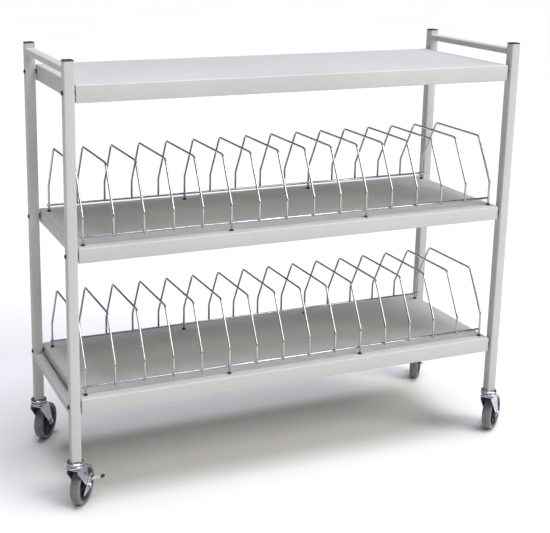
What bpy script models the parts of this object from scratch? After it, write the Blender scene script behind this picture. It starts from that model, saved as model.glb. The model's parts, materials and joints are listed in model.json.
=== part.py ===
"""Rolling two-tier chart-binder cart: tube frame, three folded shelves, two wire
divider racks and four swivel casters.

Units are metres, +Z is up, +X runs along the cart and +Y from front to back.
The whole cart hangs on one empty that puts the origin at the bottom centre of
its bounding box.
"""

import math

import bmesh
import bpy
from mathutils import Vector

NAME = "chart_binder_cart"
GAP = 0.0003                 # clearance kept between touching pieces

# Frame
WIDTH = 1.236                # over the legs, along X
DEPTH = 0.414                # over the legs, along Y
TUBE = 0.0254                # square leg tube
TUBE_WALL = 0.0015
TUBE_CORNER = 0.0028
LEG_BOTTOM = 0.134
LEG_TOP = 1.115
BAR_HEIGHT = 0.0156          # handle bars and lower cross tubes
HANDLE_TOP = LEG_TOP - 0.0126
CROSS_TOP = 0.2684
CAP_HEIGHT = 0.003
CAP_PLUG = 0.012

# Shelves: top face height and lip height of each
SHELVES = {
    "top": (1.060, 0.042),
    "middle": (0.6736, 0.037),
    "bottom": (0.2926, 0.040),
}
SHEET = 0.0014
SHELF_END_GAP = 0.0038       # shelf end to the leg's inner face
SHELF_RECESS = 0.0064        # shelf front behind the legs' front face
SHELF_HEM = 0.014            # flange turned in under each lip
SHELF_EDGE = 0.003
BOLT_DROP = 0.018            # bolt below the shelf's top face
BOLT_INSET = 0.002           # bolt off the leg's centre, away from the pan's corner

# Wire divider racks
DIVIDERS = 16
PITCH = 0.0762
WIRE = 0.0056
RACK_FRONT = -0.1765         # vertical front wires
RACK_BACK = 0.1590           # vertical back wires
RAIL_HEIGHT = 0.0185         # rail centre above the shelf
RAIL_OVERHANG = 0.007
BEND_HEIGHT = 0.066
SHOULDER_HEIGHT = 0.182
SHOULDER_SET = 0.0640
BEND_CUT = 0.006             # length taken by each bend's facet
RACK_SPAN = PITCH * (DIVIDERS - 1)
FOOT_EVERY = 5               # every fifth divider stands on the shelf

# Bolts that hold the shelves to the legs
BOLT_RADIUS = 0.0025
BOLT_HOLE = 0.0029
BOLT_HEAD = 0.0058
BOLT_HEAD_HEIGHT = 0.0034
SPACER_RADIUS = 0.0060
NUT_RADIUS = 0.0045
NUT_HEIGHT = 0.0050

# Casters
WHEEL_RADIUS = 0.0508
WHEEL_WIDTH = 0.0254
TYRE_DEPTH = 0.0095
TRAIL = 0.038
TRAIL_ANGLE = math.radians(51)
TRAIL_ANGLES = {"front_right": math.radians(37)}   # a caster parked at its own angle
AXLE_RADIUS = 0.004
STEM_RADIUS = 0.0055
STEM_LENGTH = 0.034
RACE_RADIUS = 0.0225
RACE_HEIGHT = 0.0080
FORK_INNER = 0.0146          # half the space between the blades
FORK_SHEET = 0.0026
FORK_BOSS = 0.0095
KING_PIN = 0.0046
INSERT_HEIGHT = 0.030
BRAKED = ("front_left", "back_right")
BRAKE_PLATE = 0.0020
BRAKE_EYE = 0.0100           # plate round the axle
BRAKE_TOE = (-0.0270, -0.0115, 0.0042)    # from the axle: along, up, radius
BRAKE_HEEL = (0.0120, 0.0240, 0.0045)
BRAKE_BAR_ROOT = (0.0075, 0.0092)         # from the axle: along, up
BRAKE_BAR_TIP = (0.0340, -0.0375, 0.0099)
BRAKE_PAD = (0.0370, -0.0400, 0.0099)
BRAKE_PAD_SIZE = (0.0100, 0.0140, 0.0080)

SIDES = {"left": -1, "right": 1}
ENDS = {"front": -1, "back": 1}

WHEEL_STEPS = 24
SMALL_STEPS = 16
BOLT_STEPS = 8
WIRE_RESOLUTION = 1          # six-sided wires


# ---------------------------------------------------------------- scene helpers

def clear_scene():
    for obj in list(bpy.data.objects):
        bpy.data.objects.remove(obj, do_unlink=True)


def collection(name):
    made = bpy.data.collections.new(name)
    bpy.context.scene.collection.children.link(made)
    return made


def material(name, colour, roughness, metallic=0.0):
    made = bpy.data.materials.new(name)
    made.use_nodes = True
    shader = made.node_tree.nodes["Principled BSDF"]
    shader.inputs["Base Color"].default_value = (*colour, 1.0)
    shader.inputs["Roughness"].default_value = roughness
    shader.inputs["Metallic"].default_value = metallic
    return made


def make_object(name, data, target, parent=None, location=(0, 0, 0), rotation=(0, 0, 0)):
    obj = bpy.data.objects.new(name, data)
    target.objects.link(obj)
    obj.parent = parent
    obj.location = location
    obj.rotation_euler = rotation
    return obj


def finish_mesh(mesh, mat, smooth_angle=None):
    mesh.materials.clear()
    mesh.materials.append(mat)
    if smooth_angle is not None:
        mesh.shade_smooth()
        mesh.set_sharp_from_angle(angle=math.radians(smooth_angle))


def box_mesh(name, low, high):
    bm = bmesh.new()
    bmesh.ops.create_cube(bm, size=1.0)
    low = Vector(low)
    high = Vector(high)
    for vert in bm.verts:
        vert.co = Vector(low[i] + (vert.co[i] + 0.5) * (high[i] - low[i]) for i in range(3))
    mesh = bpy.data.meshes.new(name)
    bm.to_mesh(mesh)
    bm.free()
    return mesh


def cylinder_mesh(name, radius, low, high, axis, steps):
    """Cylinder along X, Y or Z, between two points on its axis."""
    bm = bmesh.new()
    bmesh.ops.create_cone(bm, cap_ends=True, segments=steps, radius1=radius,
                          radius2=radius, depth=(Vector(high) - Vector(low)).length)
    turn = {"X": (0, math.pi / 2, 0), "Y": (math.pi / 2, 0, 0), "Z": (0, 0, 0)}[axis]
    mesh = bpy.data.meshes.new(name)
    bm.to_mesh(mesh)
    bm.free()
    obj = bpy.data.objects.new(name + "_turn", mesh)
    obj.rotation_euler = turn
    obj.location = (Vector(low) + Vector(high)) / 2
    mesh.transform(obj.matrix_basis)
    bpy.data.objects.remove(obj)
    return mesh


def boolean(obj, other, operation):
    mod = obj.modifiers.new(other.name, "BOOLEAN")
    mod.operation = operation
    mod.solver = "EXACT"
    mod.object = other
    return mod


def cutter(name, mesh, target, parent=None):
    obj = make_object(name, mesh, target, parent)
    obj.hide_render = True
    obj.display_type = "WIRE"
    return obj


def turned(name, profile, target, mat, steps, parent=None, rotation=(0, 0, 0),
           location=(0, 0, 0), closed=False, smooth=35):
    """Turned piece about its own Z axis: (radius, height) points run top to
    bottom down the outer side; a closed profile makes a ring."""
    mesh = bpy.data.meshes.new(name)
    verts = [(r, 0.0, z) for r, z in profile]
    edges = [(i, i + 1) for i in range(len(verts) - 1)]
    if closed:
        edges.append((len(verts) - 1, 0))
    mesh.from_pydata(verts, edges, [])
    obj = make_object(name, mesh, target, parent, location, rotation)
    screw = obj.modifiers.new("turn", "SCREW")
    screw.steps = steps
    screw.render_steps = steps
    screw.use_merge_vertices = True
    screw.merge_threshold = 0.00005
    screw.use_smooth_shade = True
    finish_mesh(mesh, mat)
    return obj


# ---------------------------------------------------------------- frame

def open_tube(name, size, length, target, mat, parent, location, rotation=(0, 0, 0)):
    """Rectangular tube along its own Z axis, centred, open at both ends."""
    mesh = box_mesh(name, (-size[0] / 2, -size[1] / 2, -length / 2),
                    (size[0] / 2, size[1] / 2, length / 2))
    bm = bmesh.new()
    bm.from_mesh(mesh)
    ends = [face for face in bm.faces if abs(face.normal.z) > 0.9]
    bmesh.ops.delete(bm, geom=ends, context="FACES_ONLY")
    bm.to_mesh(mesh)
    bm.free()
    obj = make_object(name, mesh, target, parent, location, rotation)
    bevel = obj.modifiers.new("corners", "BEVEL")
    bevel.width = TUBE_CORNER
    bevel.segments = 2
    bevel.limit_method = "ANGLE"
    wall = obj.modifiers.new("wall", "SOLIDIFY")
    wall.thickness = TUBE_WALL
    wall.offset = -1
    finish_mesh(mesh, mat)
    return obj


def leg_centre(side, end):
    return (SIDES[side] * (WIDTH - TUBE) / 2, ENDS[end] * (DEPTH - TUBE) / 2)


def bolt_height(shelf):
    return SHELVES[shelf][0] - BOLT_DROP


def bolt_y(end):
    return ENDS[end] * ((DEPTH - TUBE) / 2 - BOLT_INSET)


def make_leg(side, end, parts, cutters, root, mat):
    x, y = leg_centre(side, end)
    middle = (LEG_BOTTOM + LEG_TOP) / 2
    leg = open_tube(f"leg_{end}_{side}", (TUBE, TUBE), LEG_TOP - LEG_BOTTOM,
                    parts, mat, root, (x, y, middle))
    y = bolt_y(end)
    for shelf in SHELVES:
        z = bolt_height(shelf)
        mesh = cylinder_mesh("bolt_hole", BOLT_HOLE, (x - TUBE, y, z), (x + TUBE, y, z),
                             "X", BOLT_STEPS)
        hole = cutter(f"cut_leg_{end}_{side}_{shelf}", mesh, cutters, root)
        boolean(leg, hole, "DIFFERENCE")


def make_cap(side, end, parts, cutters, root, mat):
    x, y = leg_centre(side, end)
    half = TUBE / 2
    base = LEG_TOP + GAP
    mesh = box_mesh("cap", (x - half, y - half, base), (x + half, y + half, base + CAP_HEIGHT))
    cap = make_object(f"leg_cap_{end}_{side}", mesh, parts, root)
    finish_mesh(mesh, mat)
    bevel = cap.modifiers.new("edge", "BEVEL")
    bevel.width = 0.0012
    bevel.segments = 2
    inside = half - TUBE_WALL - GAP
    plug_mesh = box_mesh("plug", (x - inside, y - inside, LEG_TOP - CAP_PLUG),
                         (x + inside, y + inside, base + CAP_HEIGHT / 2))
    plug = cutter(f"plug_{end}_{side}", plug_mesh, cutters, root)
    corner = plug.modifiers.new("corner", "BEVEL")
    corner.width = 0.0016
    corner.segments = 1
    boolean(cap, plug, "UNION")


def make_insert(side, end, parts, cutters, root, mat):
    """Square plug inside the leg's foot that the caster's stem screws into."""
    x, y = leg_centre(side, end)
    inside = TUBE / 2 - TUBE_WALL - GAP
    low = LEG_BOTTOM + GAP
    mesh = box_mesh("insert", (x - inside, y - inside, low), (x + inside, y + inside, low + INSERT_HEIGHT))
    insert = make_object(f"leg_insert_{end}_{side}", mesh, parts, root)
    finish_mesh(mesh, mat)
    bevel = insert.modifiers.new("corner", "BEVEL")
    bevel.width = 0.0016
    bevel.segments = 1
    bore_mesh = cylinder_mesh("bore", STEM_RADIUS + GAP * 2, (x, y, low - 0.01),
                              (x, y, low + INSERT_HEIGHT + 0.01), "Z", SMALL_STEPS)
    bore = cutter(f"cut_insert_{end}_{side}", bore_mesh, cutters, root)
    boolean(insert, bore, "DIFFERENCE")


def make_end_bars(side, parts, root, mat):
    """Push handle and lower cross tube between the front and back legs."""
    x = SIDES[side] * (WIDTH - TUBE) / 2
    length = DEPTH - 2 * TUBE - 2 * GAP
    along_y = (math.pi / 2, 0, 0)
    size = (TUBE, BAR_HEIGHT)
    open_tube(f"handle_bar_{side}", size, length, parts, mat, root,
              (x, 0, HANDLE_TOP - BAR_HEIGHT / 2), along_y)
    open_tube(f"lower_cross_tube_{side}", size, length, parts, mat, root,
              (x, 0, CROSS_TOP - BAR_HEIGHT / 2), along_y)


# ---------------------------------------------------------------- shelves

def shelf_half_size():
    return (WIDTH / 2 - TUBE - SHELF_END_GAP, DEPTH / 2 - SHELF_RECESS)


def make_shelf(shelf, parts, cutters, root, mat):
    """Folded pan: deck, four lips and a hem turned in under each lip."""
    top, lip = SHELVES[shelf]
    half_x, half_y = shelf_half_size()
    mesh = box_mesh(f"shelf_{shelf}", (-half_x, -half_y, top - lip), (half_x, half_y, top))
    bm = bmesh.new()
    bm.from_mesh(mesh)
    under = [face for face in bm.faces if face.normal.z < -0.9]
    bmesh.ops.inset_region(bm, faces=under, thickness=SHELF_HEM, use_boundary=True)
    bmesh.ops.delete(bm, geom=under, context="FACES")
    bm.to_mesh(mesh)
    bm.free()
    obj = make_object(f"shelf_{shelf}", mesh, parts, root)
    finish_mesh(mesh, mat)
    fold = obj.modifiers.new("folds", "BEVEL")
    fold.width = SHELF_EDGE
    fold.segments = 2
    fold.limit_method = "ANGLE"
    sheet = obj.modifiers.new("sheet", "SOLIDIFY")
    sheet.thickness = SHEET
    sheet.offset = -1
    for side, sign in SIDES.items():
        for end in ENDS:
            y = bolt_y(end)
            z = bolt_height(shelf)
            hole_mesh = cylinder_mesh("bolt_hole", BOLT_HOLE, (sign * (half_x - 0.01), y, z),
                                      (sign * (half_x + 0.01), y, z), "X", BOLT_STEPS)
            hole = cutter(f"cut_shelf_{shelf}_{end}_{side}", hole_mesh, cutters, root)
            boolean(obj, hole, "DIFFERENCE")


def make_bolt(shelf, side, end, parts, root, mat):
    """Shelf bolt: head outside the leg, spacer collar, nut inside the lip.
    It is turned about the X axis, with its head outward."""
    half_x = shelf_half_size()[0]
    outer = WIDTH / 2 + GAP
    leg_inner = WIDTH / 2 - TUBE
    spacer_out = leg_inner - GAP
    spacer_in = half_x + GAP
    nut_out = half_x - SHEET - GAP
    nut_in = nut_out - NUT_HEIGHT
    profile = [
        (0.0, outer + BOLT_HEAD_HEIGHT),
        (BOLT_HEAD * 0.72, outer + BOLT_HEAD_HEIGHT * 0.88),
        (BOLT_HEAD, outer + BOLT_HEAD_HEIGHT * 0.4),
        (BOLT_HEAD, outer),
        (BOLT_RADIUS, outer),
        (BOLT_RADIUS, spacer_out),
        (SPACER_RADIUS, spacer_out),
        (SPACER_RADIUS, spacer_in),
        (BOLT_RADIUS, spacer_in),
        (BOLT_RADIUS, nut_out),
        (NUT_RADIUS, nut_out),
        (NUT_RADIUS, nut_in),
        (0.0, nut_in - 0.001),
    ]
    turn = (0, SIDES[side] * math.pi / 2, 0)
    turned(f"shelf_bolt_{shelf}_{end}_{side}", profile, parts, mat, BOLT_STEPS, root,
           turn, (0, bolt_y(end), bolt_height(shelf)))


# ---------------------------------------------------------------- wire racks

def bent_path(corners, cut):
    """Corner points with each inner corner replaced by a short facet."""
    path = [Vector(corners[0])]
    for before, here, after in zip(corners, corners[1:], corners[2:]):
        before, here, after = Vector(before), Vector(here), Vector(after)
        path.append(here + (before - here).normalized() * cut)
        path.append(here + (after - here).normalized() * cut)
    path.append(Vector(corners[-1]))
    return path


def wire_object(name, paths, target, parent, radius):
    """Round wires along straight-sided paths, as one mesh with welded caps."""
    curve = bpy.data.curves.new(name, "CURVE")
    curve.dimensions = "3D"
    curve.bevel_depth = radius
    curve.bevel_resolution = WIRE_RESOLUTION
    curve.use_fill_caps = True
    for path in paths:
        spline = curve.splines.new("POLY")
        spline.points.add(len(path) - 1)
        for point, place in zip(spline.points, path):
            point.co = (*place, 1.0)
    source = make_object(name + "_curve", curve, target, parent)
    bpy.context.view_layer.update()
    graph = bpy.context.evaluated_depsgraph_get()
    mesh = bpy.data.meshes.new_from_object(source.evaluated_get(graph))
    bm = bmesh.new()
    bm.from_mesh(mesh)
    bmesh.ops.remove_doubles(bm, verts=bm.verts, dist=0.00005)
    bm.to_mesh(mesh)
    bm.free()
    matrix = source.matrix_world.copy()
    bpy.data.objects.remove(source)
    obj = make_object(name, mesh, target, parent)
    obj.matrix_world = matrix
    return obj


def divider_x(index):
    return -RACK_SPAN / 2 + index * PITCH


def divider_path(index, deck):
    """Symmetric arch from the front rail over the binders to the back rail;
    every fifth one runs on down to stand on the shelf."""
    x = divider_x(index)
    stands = index % FOOT_EVERY == 0
    base = deck + (GAP + 0.0008 if stands else RAIL_HEIGHT)
    corners = [
        (x, RACK_FRONT, base),
        (x, RACK_FRONT, deck + BEND_HEIGHT),
        (x, RACK_FRONT + SHOULDER_SET, deck + SHOULDER_HEIGHT),
        (x, RACK_BACK - SHOULDER_SET, deck + SHOULDER_HEIGHT),
        (x, RACK_BACK, deck + BEND_HEIGHT),
        (x, RACK_BACK, base),
    ]
    return bent_path(corners, BEND_CUT)


def make_rack(shelf, parts, cutters, root, mat):
    deck = SHELVES[shelf][0]
    radius = WIRE / 2
    dividers = [divider_path(i, deck) for i in range(DIVIDERS)]
    rack = wire_object(f"wire_rack_{shelf}", dividers, parts, root, radius)
    finish_mesh(rack.data, mat, 40)
    reach = RACK_SPAN / 2 + RAIL_OVERHANG
    rail_z = deck + RAIL_HEIGHT
    rails = [
        [Vector((-reach, y, rail_z)), Vector((reach, y, rail_z))]
        for y in (RACK_FRONT, RACK_BACK)
    ]
    rail = wire_object(f"rails_{shelf}", rails, cutters, root, radius * 1.02)
    rail.hide_render = True
    rail.display_type = "WIRE"
    finish_mesh(rail.data, mat)
    boolean(rack, rail, "UNION")


# ---------------------------------------------------------------- casters

def ring_profile(outer, inner, half, round_by, points):
    """Closed ring section, its outer corners rounded, run top to bottom."""
    section = [(inner, half)]
    for i in range(points + 1):
        angle = math.pi / 2 * (1 - i / points)
        section.append((outer - round_by * (1 - math.cos(angle)),
                        half - round_by * (1 - math.sin(angle))))
    for i in range(points + 1):
        angle = math.pi / 2 * i / points
        section.append((outer - round_by * (1 - math.cos(angle)),
                        -half + round_by * (1 - math.sin(angle))))
    section.append((inner, -half))
    return section


def fork_outline():
    """Blade outline along the trail and up: a wide top that narrows to a
    round boss at the axle."""
    top = fork_top()
    front = -0.0195
    back = 0.0235
    points = [(front, top), (back, top), (back + 0.006, top - 0.010)]
    for i in range(7):
        angle = math.radians(12 - 32 * i)
        points.append((TRAIL + FORK_BOSS * math.cos(angle),
                       WHEEL_RADIUS + FORK_BOSS * math.sin(angle)))
    points.append((front, top - 0.011))
    return points


def fork_top():
    return LEG_BOTTOM - 0.0006 - 2 * RACE_HEIGHT - 0.0004


def make_stem(tag, parts, pivot, mat):
    """Threaded stem, fixed upper race and the king pin that carries the fork."""
    race_top = LEG_BOTTOM - 0.0006
    race_low = race_top - RACE_HEIGHT
    plate_low = fork_top() - FORK_SHEET
    profile = [
        (0.0, LEG_BOTTOM + STEM_LENGTH),
        (STEM_RADIUS * 0.8, LEG_BOTTOM + STEM_LENGTH),
        (STEM_RADIUS, LEG_BOTTOM + STEM_LENGTH - 0.0012),
        (STEM_RADIUS, race_top),
        (RACE_RADIUS * 0.80, race_top),
        (RACE_RADIUS, race_top - 0.0035),
        (RACE_RADIUS, race_low + 0.001),
        (RACE_RADIUS * 0.93, race_low),
        (KING_PIN, race_low),
        (KING_PIN, plate_low - GAP),
        (KING_PIN * 1.9, plate_low - GAP),
        (KING_PIN * 1.6, plate_low - GAP - 0.002),
        (0.0, plate_low - GAP - 0.0026),
    ]
    turned(f"caster_stem_{tag}", profile, parts, mat, SMALL_STEPS, pivot)


def make_fork(tag, parts, cutters, pivot, mat):
    """Folded fork with its lower race, open between the blades."""
    outer = FORK_INNER + FORK_SHEET
    top = fork_top()
    outline = fork_outline()
    bm = bmesh.new()
    face = bm.faces.new([bm.verts.new((u, -outer, z)) for u, z in outline])
    grown = bmesh.ops.extrude_face_region(bm, geom=[face])
    moved = [item for item in grown["geom"] if isinstance(item, bmesh.types.BMVert)]
    bmesh.ops.translate(bm, verts=moved, vec=(0, 2 * outer, 0))
    bmesh.ops.recalc_face_normals(bm, faces=bm.faces)
    mesh = bpy.data.meshes.new("fork")
    bm.to_mesh(mesh)
    bm.free()
    fork = make_object(f"caster_fork_{tag}", mesh, parts, pivot)
    finish_mesh(mesh, mat)

    race = cutter(f"race_{tag}", cylinder_mesh("race", RACE_RADIUS, (0, 0, top - 0.0008),
                  (0, 0, top + RACE_HEIGHT), "Z", WHEEL_STEPS), cutters, pivot)
    boolean(fork, race, "UNION")
    slot = cutter(f"cut_slot_{tag}", box_mesh("slot", (-0.06, -FORK_INNER, -0.02),
                  (0.09, FORK_INNER, top - FORK_SHEET)), cutters, pivot)
    boolean(fork, slot, "DIFFERENCE")
    axle = cutter(f"cut_axle_{tag}", cylinder_mesh("axle_hole", AXLE_RADIUS + GAP * 1.5,
                  (TRAIL, -0.03, WHEEL_RADIUS), (TRAIL, 0.03, WHEEL_RADIUS), "Y",
                  SMALL_STEPS), cutters, pivot)
    boolean(fork, axle, "DIFFERENCE")
    pin = cutter(f"cut_pin_{tag}", cylinder_mesh("pin_hole", KING_PIN + GAP * 1.5,
                 (0, 0, top - 0.02), (0, 0, top + 0.02), "Z", SMALL_STEPS), cutters, pivot)
    boolean(fork, pin, "DIFFERENCE")


def make_wheel(tag, parts, axis, tyre_mat, hub_mat, axle_mat):
    """Tyre, hub and axle, turned about the wheel's own axis."""
    half = WHEEL_WIDTH / 2
    hub_outer = WHEEL_RADIUS - TYRE_DEPTH - 0.0005
    along_y = (math.pi / 2, 0, 0)
    tyre = ring_profile(WHEEL_RADIUS, WHEEL_RADIUS - TYRE_DEPTH, half, 0.006, 2)
    turned(f"caster_tyre_{tag}", tyre, parts, tyre_mat, WHEEL_STEPS, axis, along_y, closed=True)
    bore = AXLE_RADIUS + GAP
    hub = [
        (bore, half + 0.0012),
        (0.0105, half + 0.0012),
        (0.0120, 0.0070),
        (hub_outer - 0.007, 0.0050),
        (hub_outer - 0.003, half - 0.0010),
        (hub_outer, half - 0.0010),
        (hub_outer, -half + 0.0010),
        (hub_outer - 0.003, -half + 0.0010),
        (hub_outer - 0.007, -0.0050),
        (0.0120, -0.0070),
        (0.0105, -half - 0.0012),
        (bore, -half - 0.0012),
    ]
    turned(f"caster_hub_{tag}", hub, parts, hub_mat, WHEEL_STEPS, axis, along_y, closed=True)


def make_axle(tag, parts, axis, mat):
    """Axle bolt through the fork and hub, with its nut. On a braked caster
    its head also holds the lever's plate."""
    face = FORK_INNER + FORK_SHEET + GAP
    head = face + (BRAKE_PLATE + GAP if tag in BRAKED else 0.0)
    profile = [
        (0.0, head + 0.0048),
        (0.0060, head + 0.0042),
        (0.0068, head + 0.0030),
        (0.0068, head),
        (AXLE_RADIUS, head),
        (AXLE_RADIUS, -face),
        (0.0066, -face),
        (0.0066, -face - 0.0046),
        (0.0, -face - 0.0064),
    ]
    turned(f"caster_axle_{tag}", profile, parts, mat, SMALL_STEPS, axis, (math.pi / 2, 0, 0))


def hull_mesh(name, points):
    """Convex solid through the given points."""
    bm = bmesh.new()
    for point in points:
        bm.verts.new(point)
    made = bmesh.ops.convex_hull(bm, input=bm.verts)
    spare = {item for item in made["geom_interior"] + made["geom_unused"]
             if isinstance(item, bmesh.types.BMVert)}
    bmesh.ops.delete(bm, geom=list(spare), context="VERTS")
    bmesh.ops.recalc_face_normals(bm, faces=bm.faces)
    mesh = bpy.data.meshes.new(name)
    bm.to_mesh(mesh)
    bm.free()
    return mesh


def box_corners(centre, size):
    return [tuple(c + sign * s / 2 for c, sign, s in zip(centre, signs, size))
            for signs in ((x, y, z) for x in (-1, 1) for y in (-1, 1) for z in (-1, 1))]


def make_brake(tag, parts, cutters, axis, mat):
    """Side lever on the axle: a plate outside the near blade, with a bar
    that leans out and back to the foot pad."""
    inner = FORK_INNER + FORK_SHEET + GAP
    outer = inner + BRAKE_PLATE
    rim = []
    for u, z, radius in ((0.0, 0.0, BRAKE_EYE), BRAKE_TOE, BRAKE_HEEL):
        for i in range(SMALL_STEPS):
            angle = 2 * math.pi * i / SMALL_STEPS
            for y in (-inner, -outer):
                rim.append((u + radius * math.cos(angle), y, z + radius * math.sin(angle)))
    mesh = hull_mesh("brake", rim)
    lever = make_object(f"brake_pedal_{tag}", mesh, parts, axis)
    finish_mesh(mesh, mat)
    u, z = BRAKE_BAR_ROOT
    root = (u, -(inner + outer) / 2, z)
    bar_mesh = hull_mesh("bar", box_corners(root, (0.0070, 0.0012, 0.0066))
                         + box_corners(BRAKE_BAR_TIP, (0.0020, 0.0030, 0.0060)))
    boolean(lever, cutter(f"bar_{tag}", bar_mesh, cutters, axis), "UNION")
    along, across, high = BRAKE_PAD_SIZE
    pad_mesh = hull_mesh("pad", box_corners(BRAKE_PAD, (along - 0.003, across, high - 0.003))
                         + box_corners(BRAKE_PAD, (along, across - 0.003, high - 0.003))
                         + box_corners(BRAKE_PAD, (along - 0.003, across - 0.003, high)))
    boolean(lever, cutter(f"pad_{tag}", pad_mesh, cutters, axis), "UNION")
    eye_mesh = cylinder_mesh("eye", AXLE_RADIUS + GAP * 2, (0, -0.03, 0), (0, -0.01, 0), "Y",
                             SMALL_STEPS)
    boolean(lever, cutter(f"cut_eye_{tag}", eye_mesh, cutters, axis), "DIFFERENCE")


def make_caster(side, end, parts, cutters, root, mats):
    x, y = leg_centre(side, end)
    tag = f"{end}_{side}"
    pivot = make_object(f"swivel_axis_{tag}", None, parts, root, (x, y, 0),
                        (0, 0, TRAIL_ANGLES.get(tag, TRAIL_ANGLE)))
    axle = make_object(f"wheel_axis_{tag}", None, parts, pivot, (TRAIL, 0, WHEEL_RADIUS))
    make_stem(tag, parts, pivot, mats["zinc"])
    make_fork(tag, parts, cutters, pivot, mats["zinc"])
    make_wheel(tag, parts, axle, mats["tyre"], mats["hub"], mats["zinc"])
    make_axle(tag, parts, axle, mats["zinc"])
    if tag in BRAKED:
        lever = make_object(f"brake_axis_{tag}", None, parts, pivot, (TRAIL, 0, WHEEL_RADIUS))
        make_brake(tag, parts, cutters, lever, mats["brake"])


# ---------------------------------------------------------------- whole cart

def centre_on_floor(root, parts):
    """Move the whole cart so that its bounding box stands on the origin."""
    bpy.context.view_layer.update()
    graph = bpy.context.evaluated_depsgraph_get()
    corners = []
    for obj in parts.objects:
        if obj.type == "MESH":
            shown = obj.evaluated_get(graph)
            corners += [obj.matrix_world @ vert.co for vert in shown.data.vertices]
    low = [min(c[i] for c in corners) for i in range(3)]
    high = [max(c[i] for c in corners) for i in range(3)]
    root.location = (-(low[0] + high[0]) / 2, -(low[1] + high[1]) / 2, -low[2])
    bpy.context.view_layer.update()


def main():
    clear_scene()
    parts = collection(NAME)
    cutters = collection("cutters")
    mats = {
        "paint": material("frame_paint", (0.63, 0.63, 0.60), 0.42),
        "plastic": material("black_plastic", (0.02, 0.02, 0.022), 0.45),
        "bolt": material("black_bolt", (0.03, 0.03, 0.032), 0.4, 0.6),
        "chrome": material("chrome_wire", (0.75, 0.75, 0.77), 0.12, 1.0),
        "zinc": material("zinc_plate", (0.62, 0.64, 0.68), 0.28, 1.0),
        "tyre": material("grey_tyre", (0.20, 0.20, 0.205), 0.6),
        "hub": material("dark_hub", (0.03, 0.03, 0.04), 0.5),
        "brake": material("brake_pedal", (0.30, 0.28, 0.27), 0.4, 0.8),
    }
    root = make_object("cart_origin", None, parts)
    for side in SIDES:
        make_end_bars(side, parts, root, mats["paint"])
        for end in ENDS:
            make_leg(side, end, parts, cutters, root, mats["paint"])
            make_cap(side, end, parts, cutters, root, mats["plastic"])
            make_insert(side, end, parts, cutters, root, mats["plastic"])
            make_caster(side, end, parts, cutters, root, mats)
            for shelf in SHELVES:
                make_bolt(shelf, side, end, parts, root, mats["bolt"])
    for shelf in SHELVES:
        make_shelf(shelf, parts, cutters, root, mats["paint"])
    for shelf in ("middle", "bottom"):
        make_rack(shelf, parts, cutters, root, mats["chrome"])
    centre_on_floor(root, parts)


main()
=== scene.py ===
"""Looks of a rolling chart-binder cart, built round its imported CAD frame.

Everything is in metres in the frame's own axes: +X along the cart, +Y from
front to back, +Z up, the floor at zero.
"""

import json
import math

import bmesh
import bpy
from mathutils import Matrix, Vector


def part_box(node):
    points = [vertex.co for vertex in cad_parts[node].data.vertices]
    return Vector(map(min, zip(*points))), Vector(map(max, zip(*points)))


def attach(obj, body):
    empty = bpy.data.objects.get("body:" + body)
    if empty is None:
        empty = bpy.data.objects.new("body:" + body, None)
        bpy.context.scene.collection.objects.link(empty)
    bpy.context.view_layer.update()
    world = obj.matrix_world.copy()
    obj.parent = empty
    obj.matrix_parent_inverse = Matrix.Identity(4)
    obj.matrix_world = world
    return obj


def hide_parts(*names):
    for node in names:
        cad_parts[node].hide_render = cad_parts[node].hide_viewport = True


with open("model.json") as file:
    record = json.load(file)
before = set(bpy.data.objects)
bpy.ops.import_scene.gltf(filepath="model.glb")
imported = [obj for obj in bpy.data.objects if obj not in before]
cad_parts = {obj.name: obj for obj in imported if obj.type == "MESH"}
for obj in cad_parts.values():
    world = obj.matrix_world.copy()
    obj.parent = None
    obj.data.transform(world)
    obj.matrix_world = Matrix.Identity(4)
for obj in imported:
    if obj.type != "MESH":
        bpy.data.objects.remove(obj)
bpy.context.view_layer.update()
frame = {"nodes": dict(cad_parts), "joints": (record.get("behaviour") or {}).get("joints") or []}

JOINTS = {joint["name"]: joint for joint in frame["joints"]}
SIDES = ("left", "right")
ENDS = ("front", "back")
CORNERS = [f"{end}_{side}" for end in ENDS for side in SIDES]
SHELVES = ("top", "middle", "bottom")
RACKS = ("middle", "bottom")

# Square tube, folded sheet.
TUBE_CORNER = 0.0030
TUBE_WALL = 0.0015
FOLD_RADIUS = 0.0032
SHEET = 0.0014
HEM = 0.014

# Wire racks. Heights are over the shelf's deck, and the shoulder's set is
# how far an arch leans in between its bends.
DIVIDERS = 16
PITCH = 0.0762
WIRE_RADIUS = 0.0028
BEND_HEIGHT = 0.066
SHOULDER_SET = 0.0640
BEND_RADIUS = 0.014
RAIL_HEIGHT = 0.0185
FOOT_EVERY = 5
WIRE_SIDES = 14

# Casters. A race is a pressed ring with a roll round its waist, and the
# brake lever's plate lies between two gaps on the axle.
RACE_HEIGHT = 0.0080
RACE_GAPS = 0.0010
ROLL_RADIUS = 0.0036
BRAKE_SPACE = 0.0023
WHEEL_STEPS = 72
RING_STEPS = 56


# ---------------------------------------------------------------- materials

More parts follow.
